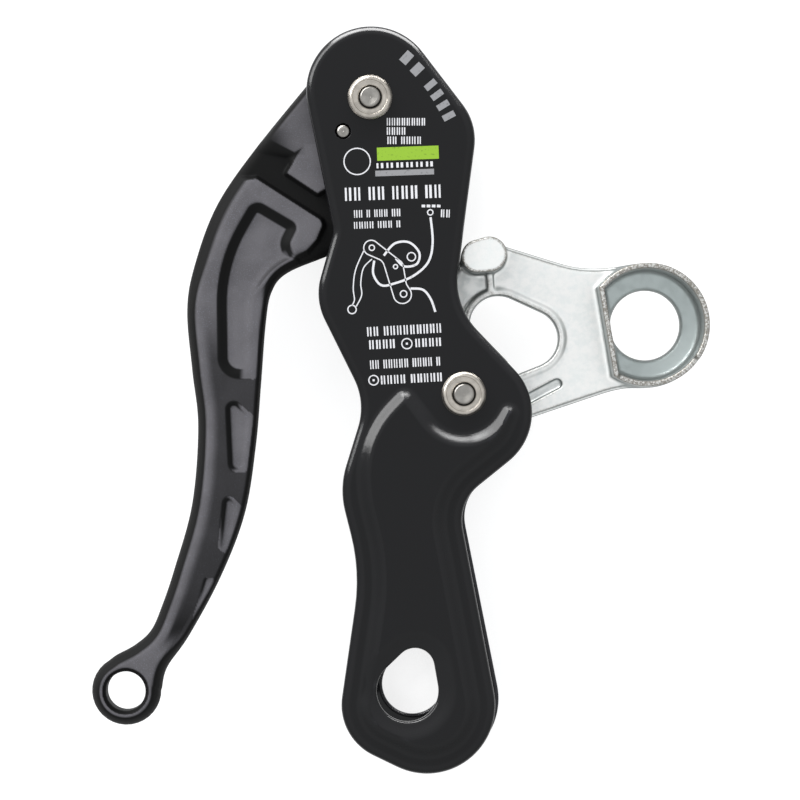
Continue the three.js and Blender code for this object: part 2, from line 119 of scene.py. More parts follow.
SPRING_ROOM, SPRING_FLOOR = 10.8, 16  # radius and floor of the hollow for each hub's spring

# ---- outlines: circles (x, y, radius, side) joined by their common tangents, anticlockwise ----
PLATE_RING = [
    (-9.7, 103.3, 21.7, LOBE),  # head, round the upper axle
    (-30.7, 56.7, 8.3, HOLLOW),  # where the handle comes out
    (-7.3, 35.7, 20, LOBE),  # left shoulder
    (-34.8, -2.7, 21.7, HOLLOW),  # left waist
    (9, -30.3, 28.3, LOBE),
    (-77.8, -60.7, 63.3, HOLLOW),  # long shallow hollow on the left of the foot
    (-0.9, -102, 18.7, LOBE),  # foot, left
    (9, -102.1, 22.9, LOBE),  # foot, right
    (35.8, -40.3, 15, HOLLOW),  # right waist
    (23.4, -4.3, 20.8, LOBE),  # bulge round the lower axle
    (43.2, 40, 24, HOLLOW),
    (5.8, 87, 19.3, LOBE),  # right shoulder
]
BORDER = 5.3  # flat border left round the pressed panel
PANEL_RING = [
    (1.6, -0.2, 4.2, LOBE),
    (21.5, -25.3, 36, LOBE),
    (9, -30.3, 28.3 - BORDER, LOBE),
    (-77.8, -60.7, 63.3 + BORDER, HOLLOW),
    (-0.9, -102, 18.7 - BORDER, LOBE),
    (9, -102.1, 22.9 - BORDER, LOBE),
    (35.8, -40.3, 15 + BORDER, HOLLOW),
    (23.4, -4.3, 20.8 - BORDER, LOBE),
    (36.3, -4.4, 3.4, LOBE),
    (LOWER.x, LOWER.y, 12.8, HOLLOW),  # dip that leaves room for the washer
]
HARNESS_EYE_RING = [(2.5, -97, 10.3, LOBE), (5, -89.3, 6.5, LOBE)]
GRIP_OUTER = [
    (-29.5, 108.6), (-47.6, 86.4), (-61.6, 66.1), (-69.2, 46), (-71.9, 30.5), (-70.2, 10),
    (-68.2, -9), (-70.2, -35), (-76.2, -57), (-80.3, -69.2), (-84, -77.6), (-89.4, -82.6),
    (-95.6, -86), (-98.2, -87.9),
]
GRIP_INNER = [
    (-80.4, -97.5), (-78.6, -90.2), (-71.2, -79.5), (-60.4, -59.4), (-52.3, -38), (-48.6, -15),
    (-46.9, 5.4), (-45.3, 26), (-43.3, 36.6), (-38, 42.9), (-24, 48.8), (-5, 57),
]
POCKET_RINGS = [
    [
        (-47.8, 62.2, 4.5, LOBE), (-8.9, 32.4, 53.1, LOBE), (-54, 14.4, 7.7, LOBE),
        (-49.6, 8.6, 2.2, LOBE), (-29.7, 29.4, 17.3, HOLLOW), (-36.3, 47.6, 1.9, LOBE),
        (-34, 52.4, 2.5, HOLLOW), (-37.6, 57.8, 3.1, LOBE),
    ],
    [
        (-55.9, -3.1, 3.2, LOBE), (-54.5, -21.2, 3.8, LOBE), (-52, -23.6, 1.2, LOBE),
        (-49.9, -5.5, 1.2, LOBE),
    ],
    [
        (-57.3, -34.9, 3, LOBE), (-58.8, -49, 3, LOBE), (-57.6, -50.8, 1.2, LOBE),
        (-53.8, -36.2, 1.2, LOBE),
    ],
    [(-64.6, -61, 1.9, LOBE), (-70.2, -74.6, 0.6, LOBE), (-62.6, -60.7, 1, LOBE)],
]
VALLEY = [  # sunk step across the handle, past a raised triangle
    (-64, 75), (-50.7, 73.9), (-48.4, 74.3), (-26.9, 60.5), (-26.2, 58.8), (-28.2, 54),
    (-31.6, 50.1), (-35.5, 48), (-34, 42), (-12, 50), (-16, 74), (-23.5, 72), (-27.7, 69.6),
    (-37.8, 76.3), (-32.1, 85.5), (-35.5, 83.6), (-44.1, 88), (-56, 97),
]
SCOOP_LINE = ((-44, 86), (-35, 90))  # from where the scoop's painted shade is darkest to where its painted light is brightest
CAM_RING = [
    (*CAM_EYE, CAM_EYE_RIM, LOBE),
    (65.8, 83.7, 39, HOLLOW),  # top edge
    (29, 48.5, 5.5, LOBE),  # under the post
    (23, 36, 8.5, LOBE),  # limb hidden by the plates
    (LOWER.x, LOWER.y, CAM_HUB, LOBE),
    (82, -36.9, 41.2, HOLLOW),  # bottom edge
]
CAM_WINDOW_RING = [(43.9, 20.8, 9.7, LOBE), (33.4, 25.6, 9.7, LOBE), (34.9, 14.1, 6.8, LOBE)]
CAM_POST_RING = [(26.1, 48.2, 5.5, LOBE), (30, 48.9, 5.9, LOBE)]
CAM_GROOVE = [(53.2, 5.5), (42, -0.4)]  # shallow groove in the web
CAM_RIB = [(30.3, 44), (30.8, 37)]  # short upright bar below the post
DRUM_FLAT = ((66.6, 38.6), (71.8, 7.8))  # ends of the drum's straight side


def tangent_angle(first, second):
    (x1, y1, r1, s1), (x2, y2, r2, s2) = first, second
    apart = math.hypot(x2 - x1, y2 - y1)
    return math.atan2(y2 - y1, x2 - x1) - math.asin((s2 * r2 - s1 * r1) / apart)


def ring_points(circles):
    """The closed outline round a ring of circles, as points."""
    points = []
    for i, (x, y, r, side) in enumerate(circles):
        start = tangent_angle(circles[i - 1], circles[i]) - side * math.pi / 2
        end = tangent_angle(circles[i], circles[(i + 1) % len(circles)]) - side * math.pi / 2
        sweep = side * ((side * (end - start)) % (2 * math.pi))
        steps = max(2, round(abs(sweep) / math.radians(4)))
        for angle in np.linspace(start, start + sweep, steps + 1):
            points.append((x + r * math.cos(angle), y + r * math.sin(angle)))
    return points


def curve_points(knots, steps=8):
    """A smooth open curve through the knots, as points."""
    knots = [knots[0], *knots, knots[-1]]
    points = []
    for a, b, c, d in zip(knots, knots[1:], knots[2:], knots[3:]):
        a, b, c, d = (np.array(p, float) for p in (a, b, c, d))
        for t in np.arange(steps) / steps:
            bend = 2 * a - 5 * b + 4 * c - d + (3 * b - 3 * c + d - a) * t
            points.append(b + 0.5 * t * (c - a + t * bend))
    points.append(np.array(knots[-1], float))
    return points


def arc_points(centre_xy, r, start, end, steps=24):
    x, y = centre_xy
    return [(x + r * math.cos(a), y + r * math.sin(a)) for a in np.linspace(start, end, steps)]


# ---- distance fields ----
def outline_distance(x, y, points, closed=True):
    """Distance to an outline seen from above, negative inside a closed one."""
    nearest = np.full(np.broadcast(x, y).shape, 1e9, np.float32)
    inside = np.zeros(nearest.shape, bool)
    ends = points[1:] + points[:1] if closed else points[1:]
    for (ax, ay), (bx, by) in zip(points, ends):
        dx, dy = bx - ax, by - ay
        if dx == dy == 0:
            continue
        along = np.clip(((x - ax) * dx + (y - ay) * dy) / (dx * dx + dy * dy), 0, 1)
        nearest = np.minimum(nearest, (x - ax - along * dx) ** 2 + (y - ay - along * dy) ** 2)
        if dy:
            inside ^= ((y < ay) != (y < by)) & (x < ax + (y - ay) * dx / dy)
    distance = np.sqrt(nearest)
    return np.where(inside, -distance, distance) if closed else distance


class Block:
    """A box of evenly spaced sample points, kept as three thin arrays that broadcast."""

    def __init__(self, low, high, step):
        self.low = np.array(low, np.float32) - 3 * step
        self.step = step
        counts = np.ceil((np.array(high) + 3 * step - self.low) / step).astype(int) + 1
        axes = [a + step * np.arange(n, dtype=np.float32) for a, n in zip(self.low, counts)]
        self.x, self.y, self.z = np.meshgrid(*axes, indexing="ij", sparse=True)

    def outline(self, points, closed=True):
        return outline_distance(self.x, self.y, points, closed)

    def ring(self, circles):
        return self.outline(ring_points(circles))

    def disc(self, centre_xy, r):
        return np.hypot(self.x - centre_xy[0], self.y - centre_xy[1]) - r

    def slab(self, low, high):
        return np.abs(self.z - (low + high) / 2) - (high - low) / 2

    def mesh(self, name, field):
        """The field's zero surface as a smooth Blender mesh object, in metres."""
        grid = openvdb.FloatGrid(10.0)
        grid.copyFromArray(np.ascontiguousarray(np.clip(field, -9, 9), np.float32))
        points, _, quads = grid.convertToPolygons(isovalue=0.0, adaptivity=0.0)
        points = points * self.step + self.low
        return add_piece(name, points, quads)


def rounded_and(a, b, r):
    """What is inside both fields, with its edge rounded to radius r."""
    return np.minimum(-r, np.maximum(a, b)) + np.hypot(np.maximum(r + a, 0), np.maximum(r + b, 0))


def rounded_or(a, b, r):
    """What is inside either field, with a fillet of radius r where they meet."""
    return np.maximum(r, np.minimum(a, b)) - np.hypot(np.maximum(r - a, 0), np.maximum(r - b, 0))


def leaning(side, run, low, high, z):
    """An outline's wall that leans in by run from height low to height high."""
    rise = high - low
    return (side * abs(rise) + (z - low) * run * np.sign(rise)) / np.hypot(run, rise)


def ease(t):
    t = np.clip(t, 0, 1)
    return t * t * (3 - 2 * t)


def fade(value, start, run):
    """0 up to start, then smoothly up to 1 over run, which is negative for a fall."""
    return ease((value - start) / run)


# ---- meshes ----
def add_piece(name, points, faces, smooth=True):
    mesh = bpy.data.meshes.new(name)
    mesh.from_pydata((np.asarray(points, float) * MM).tolist(), [], np.asarray(faces).tolist())
    mesh.polygons.foreach_set("use_smooth", [smooth] * len(mesh.polygons))
    piece = bpy.data.objects.new(name, mesh)
    bpy.context.scene.collection.objects.link(piece)
    return piece


def set_attribute(piece, name, values):
    attribute = piece.data.attributes.new(name, "FLOAT", "POINT")
    attribute.data.foreach_set("value", np.asarray(values, np.float32))


def point_arrays(piece):
    """Vertex places in millimetres and vertex normals."""
    count = len(piece.data.vertices)
    places = np.empty(count * 3, np.float32)
    normals = np.empty(count * 3, np.float32)
    piece.data.vertices.foreach_get("co", places)
    piece.data.vertex_normals.foreach_get("vector", normals)
    return places.reshape(-1, 3) / MM, normals.reshape(-1, 3)


def mark_edges(piece, reach=3):
    """Stores how convex the surface is at each point, from 0 to 1, as edge."""
    places, normals = point_arrays(piece)
    pairs = np.empty(len(piece.data.edges) * 2, np.int32)
    piece.data.edges.foreach_get("vertices", pairs)
    first, second = pairs.reshape(-1, 2).T
    count = np.bincount(pairs, minlength=len(places)).clip(1)

    def spread(values):
        total = np.bincount(first, values[second], len(places))
        total += np.bincount(second, values[first], len(places))
        return total / count

    middle = np.stack([spread(places[:, k]) for k in range(3)], axis=1)
    hollow = ((middle - places) * normals).sum(axis=1)
    for _ in range(reach):
        hollow = spread(hollow)
    set_attribute(piece, "edge", np.clip(-hollow * EDGE_GAIN, 0, 1))


def turned(name, axis, profile, sides=96):
    """A piece turned about a vertical axis. The profile runs (radius, height) round the section."""
    following = [*profile[1:], profile[0]]
    if sum(r * after_z - after_r * z for (r, z), (after_r, after_z) in zip(profile, following)) < 0:
        profile = profile[::-1]
    rings = [
        [(axis[0] + r * math.cos(a), axis[1] + r * math.sin(a), z) for r, z in profile]
        for a in np.linspace(0, 2 * math.pi, sides, endpoint=False)
    ]
    steps = len(profile)
    faces = []
    for i in range(sides):
        here, after = i * steps, (i + 1) % sides * steps
        for k in range(steps):
            nxt = (k + 1) % steps
            faces.append((here + k, after + k, after + nxt, here + nxt))
    piece = add_piece(name, [p for ring in rings for p in ring], faces)
    set_attribute(piece, "radius", [r for _ in range(sides) for r, _ in profile])
    return piece


def rounded_profile(corners, r, steps=5):
    """A closed profile with each corner (x, y, share of r) rounded."""
    points = []
    count = len(corners)
    for i, (x, y, share) in enumerate(corners):
        here = np.array((x, y))
        sides = []
        for j in (i - 1, (i + 1) % count):
            way = np.array(corners[j][:2]) - here
            length = np.linalg.norm(way)
            sides.append(here + way / length * min(r * share, length * 0.45))
        for t in np.linspace(0, 1, steps if share else 1):
            points.append((1 - t) ** 2 * sides[0] + 2 * t * (1 - t) * here + t * t * sides[1])
    return points


# ---- materials ----
class Finish:
    """A node material whose helpers each add one node and return its output."""

    def __init__(self, name, color, roughness, metallic=0.0, specular=0.5):
        self.material = bpy.data.materials.new(name)
        self.material.use_nodes = True
        self.nodes = self.material.node_tree.nodes
        self.links = self.material.node_tree.links
        self.shader = self.nodes["Principled BSDF"]
        self.shader.inputs["Base Color"].default_value = (*color, 1)
        self.shader.inputs["Roughness"].default_value = roughness
        self.shader.inputs["Metallic"].default_value = metallic
        self.shader.inputs["Specular IOR Level"].default_value = specular
        self.place = self.nodes.new("ShaderNodeTexCoord").outputs["Object"]
        self.material.diffuse_color = (*color, 1)

    def join(self, source, socket):
        if hasattr(source, "is_linked"):
            self.links.new(source, socket)
        else:
            socket.default_value = source

    def noise(self, per_mm, detail=3.0, rough=0.5, stretch=(1, 1, 1)):
        scaled = self.nodes.new("ShaderNodeMapping")
        scaled.inputs["Scale"].default_value = [s * per_mm / MM for s in stretch]
        self.links.new(self.place, scaled.inputs["Vector"])
        node = self.nodes.new("ShaderNodeTexNoise")
        node.inputs["Scale"].default_value = 1
        node.inputs["Detail"].default_value = detail
        node.inputs["Roughness"].default_value = rough
        self.links.new(scaled.outputs["Vector"], node.inputs["Vector"])
        return node.outputs["Fac"]

    def attribute(self, name):
        node = self.nodes.new("ShaderNodeAttribute")
        node.attribute_name = name
        return node.outputs["Fac"]

    def math(self, operation, a, b=0.0):
        node = self.nodes.new("ShaderNodeMath")
        node.operation = operation
        self.join(a, node.inputs[0])
        self.join(b, node.inputs[1])
        return node.outputs[0]

    def remap(self, value, low, high, to_low=0.0, to_high=1.0):
        node = self.nodes.new("ShaderNodeMapRange")
        node.interpolation_type = "SMOOTHSTEP"
        self.links.new(value, node.inputs["Value"])
        limits = {"From Min": low, "From Max": high, "To Min": to_low, "To Max": to_high}
        for name, number in limits.items():
            node.inputs[name].default_value = number
        return node.outputs["Result"]

    def mix(self, share, a, b):
        node = self.nodes.new("ShaderNodeMix")
        node.data_type = "RGBA"
        self.join(share, node.inputs["Factor"])
        for color, socket in ((a, node.inputs[6]), (b, node.inputs[7])):
            self.join((*color, 1) if isinstance(color, tuple) else color, socket)
        return node.outputs[2]

    def colour(self, source):
        self.links.new(source, self.shader.inputs["Base Color"])

    def roughness(self, source):
        self.links.new(source, self.shader.inputs["Roughness"])

    def bump(self, layers):
        """Layers are (height, depth in millimetres), laid one over another."""
        under = None
        for height, depth in layers:
            node = self.nodes.new("ShaderNodeBump")
            node.inputs["Strength"].default_value = 1
            node.inputs["Distance"].default_value = depth * MM
            self.links.new(height, node.inputs["Height"])
            if under:
                self.links.new(under, node.inputs["Normal"])
            under = node.outputs["Normal"]
        self.links.new(under, self.shader.inputs["Normal"])


def anodised_black():
    """Satin black anodising with a fine blasted grain, rubbed a little on its edges."""
    black, bare = (0.004, 0.004, 0.0045), (0.02, 0.02, 0.024)
    finish = Finish("anodised_black", black, 0.17, specular=0.26)
    edge = finish.remap(finish.attribute("edge"), 0.5, 1.0)
    finish.colour(finish.mix(finish.math("MULTIPLY", edge, finish.noise(0.5, 4)), black, bare))
    finish.roughness(finish.remap(finish.noise(0.03, 4), 0.3, 0.7, 0.15, 0.19))
    finish.bump([(finish.noise(2.0, 3, 0.7), 0.016)])
    return finish.material


def forged_black():
    """Black coating on a forging, with painted light: grey painted sheen on level faces and pocket floors,
    painted shade in the borders, valley, scoop and pocket walls.
    """
    coat, speck = (0.004, 0.004, 0.004), (0.185, 0.19, 0.22)
    sheen_pale, sheen_deep = (0.135, 0.130, 0.140), (0.108, 0.104, 0.112)
    finish = Finish("forged_black", (0.03, 0.03, 0.032), 0.5, specular=0.12)
    clouds = finish.remap(finish.noise(0.08, 4), 0.35, 0.65)
    specks = finish.remap(finish.noise(2.4, 4, 0.8), 0.54, 0.68)
    # the grey face colour is painted sheen, as if light from above fell on the level faces
    face = finish.mix(specks, finish.mix(clouds, sheen_pale, sheen_deep), speck)
    rubbed = finish.attribute("rubbed")
    # painted sheen where the attribute is high, the black coat as painted shade elsewhere
    finish.colour(finish.mix(rubbed, coat, face))
    finish.roughness(finish.remap(rubbed, 0, 1, 0.6, 0.42))
    finish.bump([(finish.noise(0.9, 3), 0.03), (finish.noise(3.5, 2), 0.014)])
    return finish.material


def zinc_casting():
    """Bright zinc plating over cast steel: painted blue-grey shade in the hollows and on steep walls, warm
    and dark along its worn edges.
    """
    bright, duller = (0.96, 0.955, 0.93), (0.85, 0.87, 0.855)
    painted_hollow_shade, painted_wall_shade, bare = (0.47, 0.52, 0.51), (0.25, 0.27, 0.265), (0.20, 0.18, 0.15)
    finish = Finish("zinc_casting", (0.8, 0.82, 0.81), 0.42, 0.75)
    mottle = finish.remap(finish.noise(0.35, 5, 0.6), 0.35, 0.7)
    # painted shade: blue-grey in the drum floor, the recess and the groove
    toned = finish.mix(finish.attribute("hollow"), finish.mix(mottle, bright, duller), painted_hollow_shade)
    # painted shade on steep walls, by how far the surface tilts
    toned = finish.mix(finish.remap(finish.attribute("tilt"), 0.05, 0.5), toned, painted_wall_shade)
    specks = finish.remap(finish.noise(1.3, 5, 0.75), 0.42, 0.56)
    edge = finish.remap(finish.attribute("edge"), 0.3, 0.9)
    edge = finish.math("MAXIMUM", edge, finish.attribute("rim"))
    worn = finish.math("MULTIPLY", edge, finish.remap(specks, 0, 1, 0.35, 0.9))
    finish.colour(finish.mix(worn, toned, bare))
    finish.roughness(finish.remap(mottle, 0, 1, 0.36, 0.5))
    finish.bump([(finish.noise(0.25, 4), 0.05), (finish.noise(1.5, 4, 0.6), 0.045)])
    return finish.material


def turned_steel(name, color, roughness):
    """Machined steel with fine rings round its own axis."""
    finish = Finish(name, color, roughness, 1.0)
    rings = finish.math("SINE", finish.math("MULTIPLY", finish.attribute("radius"), 14.0))
    darker = tuple(c * 0.8 for c in color)
    finish.colour(finish.mix(finish.remap(finish.noise(0.4, 3), 0.35, 0.65), color, darker))
    finish.roughness(finish.remap(rings, -1, 1, roughness - 0.03, roughness + 0.05))
    finish.bump([(rings, 0.002)])
    return finish.material


def plain_metal(name, color, roughness, metallic=1.0, grain=0.01):
    finish = Finish(name, color, roughness, metallic)
    finish.roughness(finish.remap(finish.noise(0.5, 4), 0.3, 0.7, roughness - 0.06, roughness + 0.08))
    finish.bump([(finish.noise(1.5, 3), grain)])
    return finish.material


def printed_ink(name, color):
    finish = Finish(name, color, 0.55)
    worn = finish.remap(finish.noise(1.3, 4), 0.28, 0.42)
    finish.colour(finish.mix(worn, tuple(c * 0.6 for c in color), color))
    finish.bump([(finish.noise(3, 2), 0.004)])
    return finish.material


ANODISED = anodised_black()
FORGED = forged_black()
ZINC = zinc_casting()
WASHER_STEEL = turned_steel("washer_steel", (0.55, 0.51, 0.455), 0.28)
AXLE_STEEL = turned_steel("axle_steel", (0.37, 0.355, 0.33), 0.3)
WIRE = plain_metal("spring_wire", (0.5, 0.5, 0.52), 0.3)
BRONZE = plain_metal("bush_bronze", (0.62, 0.43, 0.2), 0.35)
NYLON = plain_metal("ring_nylon", (0.78, 0.77, 0.72), 0.5, 0.0)
WHITE_INK = printed_ink("white_ink", (0.72, 0.72, 0.74))
GREY_INK = printed_ink("grey_ink", (0.27, 0.27, 0.28))
GREEN_INK = printed_ink("green_ink", (0.26, 0.46, 0.02))


def finished(piece, material, body, slot, *nodes):
    """Gives a piece its material and its body, and hides the CAD nodes it stands for. The slot is not used.
    """
    piece.data.materials.append(material)
    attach(piece, body)
    if nodes:
        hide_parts(*nodes)
    return piece


# ---- side plates ----
def swung(circles):
    """An outline turned with the back plate about the upper axle."""
    cos, sin = math.cos(BACK_TURN), math.sin(BACK_TURN)
    placed = []
    for x, y, r, side in circles:
        dx, dy = x - UPPER.x, y - UPPER.y
        placed.append((UPPER.x + cos * dx - sin * dy, UPPER.y + sin * dx + cos * dy, r, side))
    return placed


def plate_field(block, inner, outward, place=list):
    """A pressed plate. inner is the height of its inner face, and outward is +1 or -1."""
    side = block.ring(place(PLATE_RING))
    panel = block.ring(place(PANEL_RING))
    eye = block.ring(place(HARNESS_EYE_RING))
    share = np.clip(-panel / PANEL_SLOPE, 0, 1)
    raised = EMBOSS * (0.65 * share + 0.35 * ease(share))  # a straight slope with eased ends
    dished = DISH_DEPTH * ease(1 - eye / DISH_WIDTH)
    lift = np.maximum(raised - dished, np.minimum(raised, DISH_FLOOR))
    depth = (block.z - inner) * outward - lift
    bevel = math.sin(CHAMFER_TILT) * (side + CHAMFER) + math.cos(CHAMFER_TILT) * (depth - PLATE)
    plate = rounded_and(rounded_and(depth - PLATE, bevel, 0.35), side, 0.6)
    plate = rounded_and(plate, -depth, 0.6)
    return rounded_and(plate, -eye, 1.0)


def axle_slot(block):
    """The arc-shaped slot that lets the back plate swing off the lower axle."""
    dx, dy = block.x - UPPER.x, block.y - UPPER.y
    reach = math.hypot(LOWER.x - UPPER.x, LOWER.y - UPPER.y)
    start = math.atan2(LOWER.y - UPPER.y, LOWER.x - UPPER.x)
    arc = np.abs(np.hypot(dx, dy) - reach)
    closed_end = np.hypot(block.x - LOWER.x, block.y - LOWER.y)
    return np.where(np.arctan2(dy, dx) > start, arc, closed_end) - SLOT_HALF


def side_plates():
    low, high = (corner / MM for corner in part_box("front_plate"))
    block = Block(low, high, PLATE_STEP)
    field = np.maximum(plate_field(block, low.z, 1), -block.disc(PIN, PIN_HOLE))
    front = block.mesh("front_plate_skin", field)
    low, high = (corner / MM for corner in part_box("back_plate"))
    block = Block(low, high, PLATE_STEP)
    field = plate_field(block, high.z, -1, swung)
    field = rounded_and(field, -axle_slot(block), 0.4)
    field = rounded_and(field, -block.disc(UPPER, SLOT_HALF), 0.4)
    back = block.mesh("back_plate_skin", field)
    for piece, body, node in ((front, "front_side", "front_plate"), (back, "back_side", "back_plate")):
        mark_edges(piece)
        finished(piece, ANODISED, body, "anodised_plate", node)


# ---- handle ----
def grip_edges():
    """The lines of the handle's outer and inner edges, as points."""
    return [[tuple(p) for p in curve_points(knots)] for knots in (GRIP_OUTER, GRIP_INNER)]


def grip_outline():
    """The handle's whole outline: outer side, eye, inner side, hub."""
    outer, inner = grip_edges()
    x, y = HANDLE_EYE
    start = math.atan2(outer[-1][1] - y, outer[-1][0] - x)
    end = math.atan2(inner[0][1] - y, inner[0][0] - x)
    eye = arc_points(HANDLE_EYE, HANDLE_EYE_RIM, start, end + 2 * math.pi)
    hub = arc_points((UPPER.x, UPPER.y), HANDLE_HUB + 0.5, -0.6, 2.4)
    return [*outer, *eye, *inner, *hub]


def stop_slot(block):
    """Room for the stop pin and the spring's arm as the handle turns."""
    reach = math.hypot(PIN.x - UPPER.x, PIN.y - UPPER.y)
    angle = math.atan2(PIN.y - UPPER.y, PIN.x - UPPER.x)
    axis = (UPPER.x, UPPER.y)
    slot = block.outline(arc_points(axis, reach, angle - 0.05, angle + 1.08, 12), closed=False)
    window = block.outline(arc_points(axis, WINDOW_ARC, angle - 0.6, angle + 1.3, 12), closed=False)
    slot = np.maximum(slot - PIN_HOLE, PIN_SLOT_FLOOR - block.z)
    window = np.maximum(window - WINDOW_HALF, WINDOW_FLOOR - block.z)
    return np.minimum(slot, window)


def grip(block, height, face):
    """The solid grip with its fallen face, sunk valley and leaning border."""
    side = block.outline(grip_outline())
    outer, inner = (block.outline(line, closed=False) for line in grip_edges())
    width = np.maximum(outer + inner - 2 * GRIP_BORDER - GRIP_FLAT, 1)
    across = np.clip((outer - GRIP_BORDER - GRIP_FLAT) / width, 0, 1)
    along = fade(block.y, *FALL_TOP) * fade(block.y, *FALL_FOOT)
    into_valley = ease(-block.outline(VALLEY) / (VALLEY_EDGE + 5 * fade(block.y, *VALLEY_SOFTENS)))
    fallen = face - GRIP_FALL * across * along - VALLEY_DEPTH * into_valley
    body = rounded_and(side, height - fallen, 1.0)
    border = GRIP_BORDER + 1.6 * fade(block.y, *BORDER_WIDENS) - 2.6 * fade(block.y, *BORDER_NARROWS)
    return rounded_and(body, leaning(side, border, 2.0, face, height), 1.2)


def bored(block, body, axis):
    """The body with its hub's bore and the room for its spring cut out."""
    body = np.maximum(body, -block.disc(axis, HUB_BORE))
    return np.maximum(body, -np.maximum(block.disc(axis, SPRING_ROOM), SPRING_FLOOR - block.z))


def handle():
    low, high = (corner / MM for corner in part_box("handle"))
    block = Block(low, high, CAST_STEP)
    middle = (ARM_LOW + ARM_HIGH) / 2
    height = np.abs(block.z - middle)  # the grip is the same on both faces
    face = ARM_HIGH - middle
    floor = POCKET_FLOOR - middle
    body = grip(block, height, face)
    for ring, lean in zip(POCKET_RINGS, POCKET_LEANS):
        wall = leaning(block.ring(ring), lean, face, floor, height)
        body = rounded_and(body, -rounded_and(wall, floor - height, 0.8), 0.4)
    hub = rounded_and(block.disc(UPPER, HANDLE_HUB), block.slab(HUB_LOW, HUB_HIGH), 0.8)
    body = rounded_or(body, hub, 1.0)
    eye = -block.disc(HANDLE_EYE, HANDLE_EYE_HOLE)
    body = rounded_and(body, eye, 0.3)
    body = rounded_and(body, leaning(eye, 1.3, face - 1.5, face, height), 0.4)
    body = bored(block, body, UPPER)
    piece = block.mesh("handle_skin", np.maximum(body, -stop_slot(block)))
    mark_edges(piece)
    mark_painted_sheen(piece)
    finished(piece, FORGED, "handle", "coated_casting", "handle")


def mark_painted_sheen(piece):
    """Stores the handle's painted light and shade: painted sheen on its level faces and pocket floors,
    painted shade in the valley, scoop, pocket walls and beside the border's highlight strip.
    """
    places, normals = point_arrays(piece)
    x, y = places[:, :2].T
    # painted sheen: level faces are lighter because of how they face the light
    facing = fade(np.abs(normals[:, 2]), *FLAT_FROM)
    # painted shade in the sunk valley
    in_valley = ease(-outline_distance(x, y, VALLEY) / 0.5)
    start, end = (np.array(p) for p in SCOOP_LINE)
    way = end - start
    along = ((places[:, :2] - start) @ way) / (way @ way)
    # painted shade in the scoop, darkest at its low end and lighter towards the top
    in_scoop = (y > 82.5) & ((x < -32) | (y > 86))
    scoop_painted_shade = np.where(in_scoop, 0.02 + 0.75 * ease(along), 0.9)
    outer, inner = (outline_distance(x, y, line, closed=False) for line in grip_edges())
    in_pocket = np.zeros(len(x), bool)
    wall = np.zeros(len(x))
    # painted shade on the pocket walls
    for ring, lean in zip(POCKET_RINGS, POCKET_LEANS):
        depth = -outline_distance(x, y, ring_points(ring))
        in_pocket |= depth > 0.6
        wall = np.maximum(wall, ease(depth / 0.6) * ease((lean + 0.2 - depth) / 0.6))
    wall *= fade(inner, 5.5, 2)
    # painted highlight strip along the outer border, painted shade on the face beyond it
    painted_strip = STRIP_SHADE * fade(outer, *STRIP_EDGE) * fade(y, *STRIP_TOP) * fade(y, *STRIP_FOOT)
    painted_strip = np.where(in_pocket, 1.0, 1 - painted_strip)
    set_attribute(piece, "rubbed", facing * scoop_painted_shade * painted_strip * (1 - in_valley) * (1 - wall))


# ---- cam ----
def drum_outline(shrink):
    """The drum's circle cut straight on its inner side."""
    x, y = CAM_EYE
    r = CAM_EYE_RIM - shrink
    (x1, y1), (x2, y2) = DRUM_FLAT
    length = math.hypot(x2 - x1, y2 - y1)
    normal = ((y1 - y2) / length, (x2 - x1) / length)
    away = (x - x1) * normal[0] + (y - y1) * normal[1] - shrink
    straight = math.atan2(-normal[1], -normal[0])
    half = math.acos(away / r)
    return arc_points(CAM_EYE, r, straight + half, straight + 2 * math.pi - half, 90)


def capsule(block, start, end, r):
    """A straight bar with round ends, upright along z."""
    return block.outline([start, end], closed=False) - r


def cam_web(block, window):
    """The cam's web, with its parting line, and the lip, rib, hub and post that stand on it.

    The last number of each rounded_and() and rounded_or() is a radius of the casting.
    """
    side = block.ring(CAM_RING)
    left_of_rib = fade(block.x, 31.0, -1.5) * fade(window, 1.6, 1.5) * fade(block.y, 20, 5)
    web = rounded_and(side, block.slab(CAM_LOW, CAM_LOW + CAM_FLASH), 0.5)
    above = block.slab(CAM_LOW, CAM_WEB - WEB_SUNK * left_of_rib)
    web = rounded_or(web, rounded_and(side + CAM_DRAFT, above, 0.9), 0.3)
    lip = np.hypot(window - LIP_OUT, block.z - CAM_WEB + 0.2) - LIP_THICK
    web = rounded_or(web, lip, 1.1)
    upright = block.slab(CAM_LOW + 1, CAM_WEB + RIB_RISE)
    rib = rounded_and(capsule(block, *CAM_RIB, RIB_HALF), upright, 0.8)
    web = rounded_or(web, rib, 0.8)
    hub = rounded_and(block.disc(LOWER, CAM_HUB), block.slab(HUB_LOW, HUB_HIGH), 0.8)
    web = rounded_or(web, hub, 1.2)
    post = rounded_and(block.ring(CAM_POST_RING), block.slab(CAM_LOW + 1, CAM_TOP), 0.7)
    return rounded_or(web, post, 1.4)


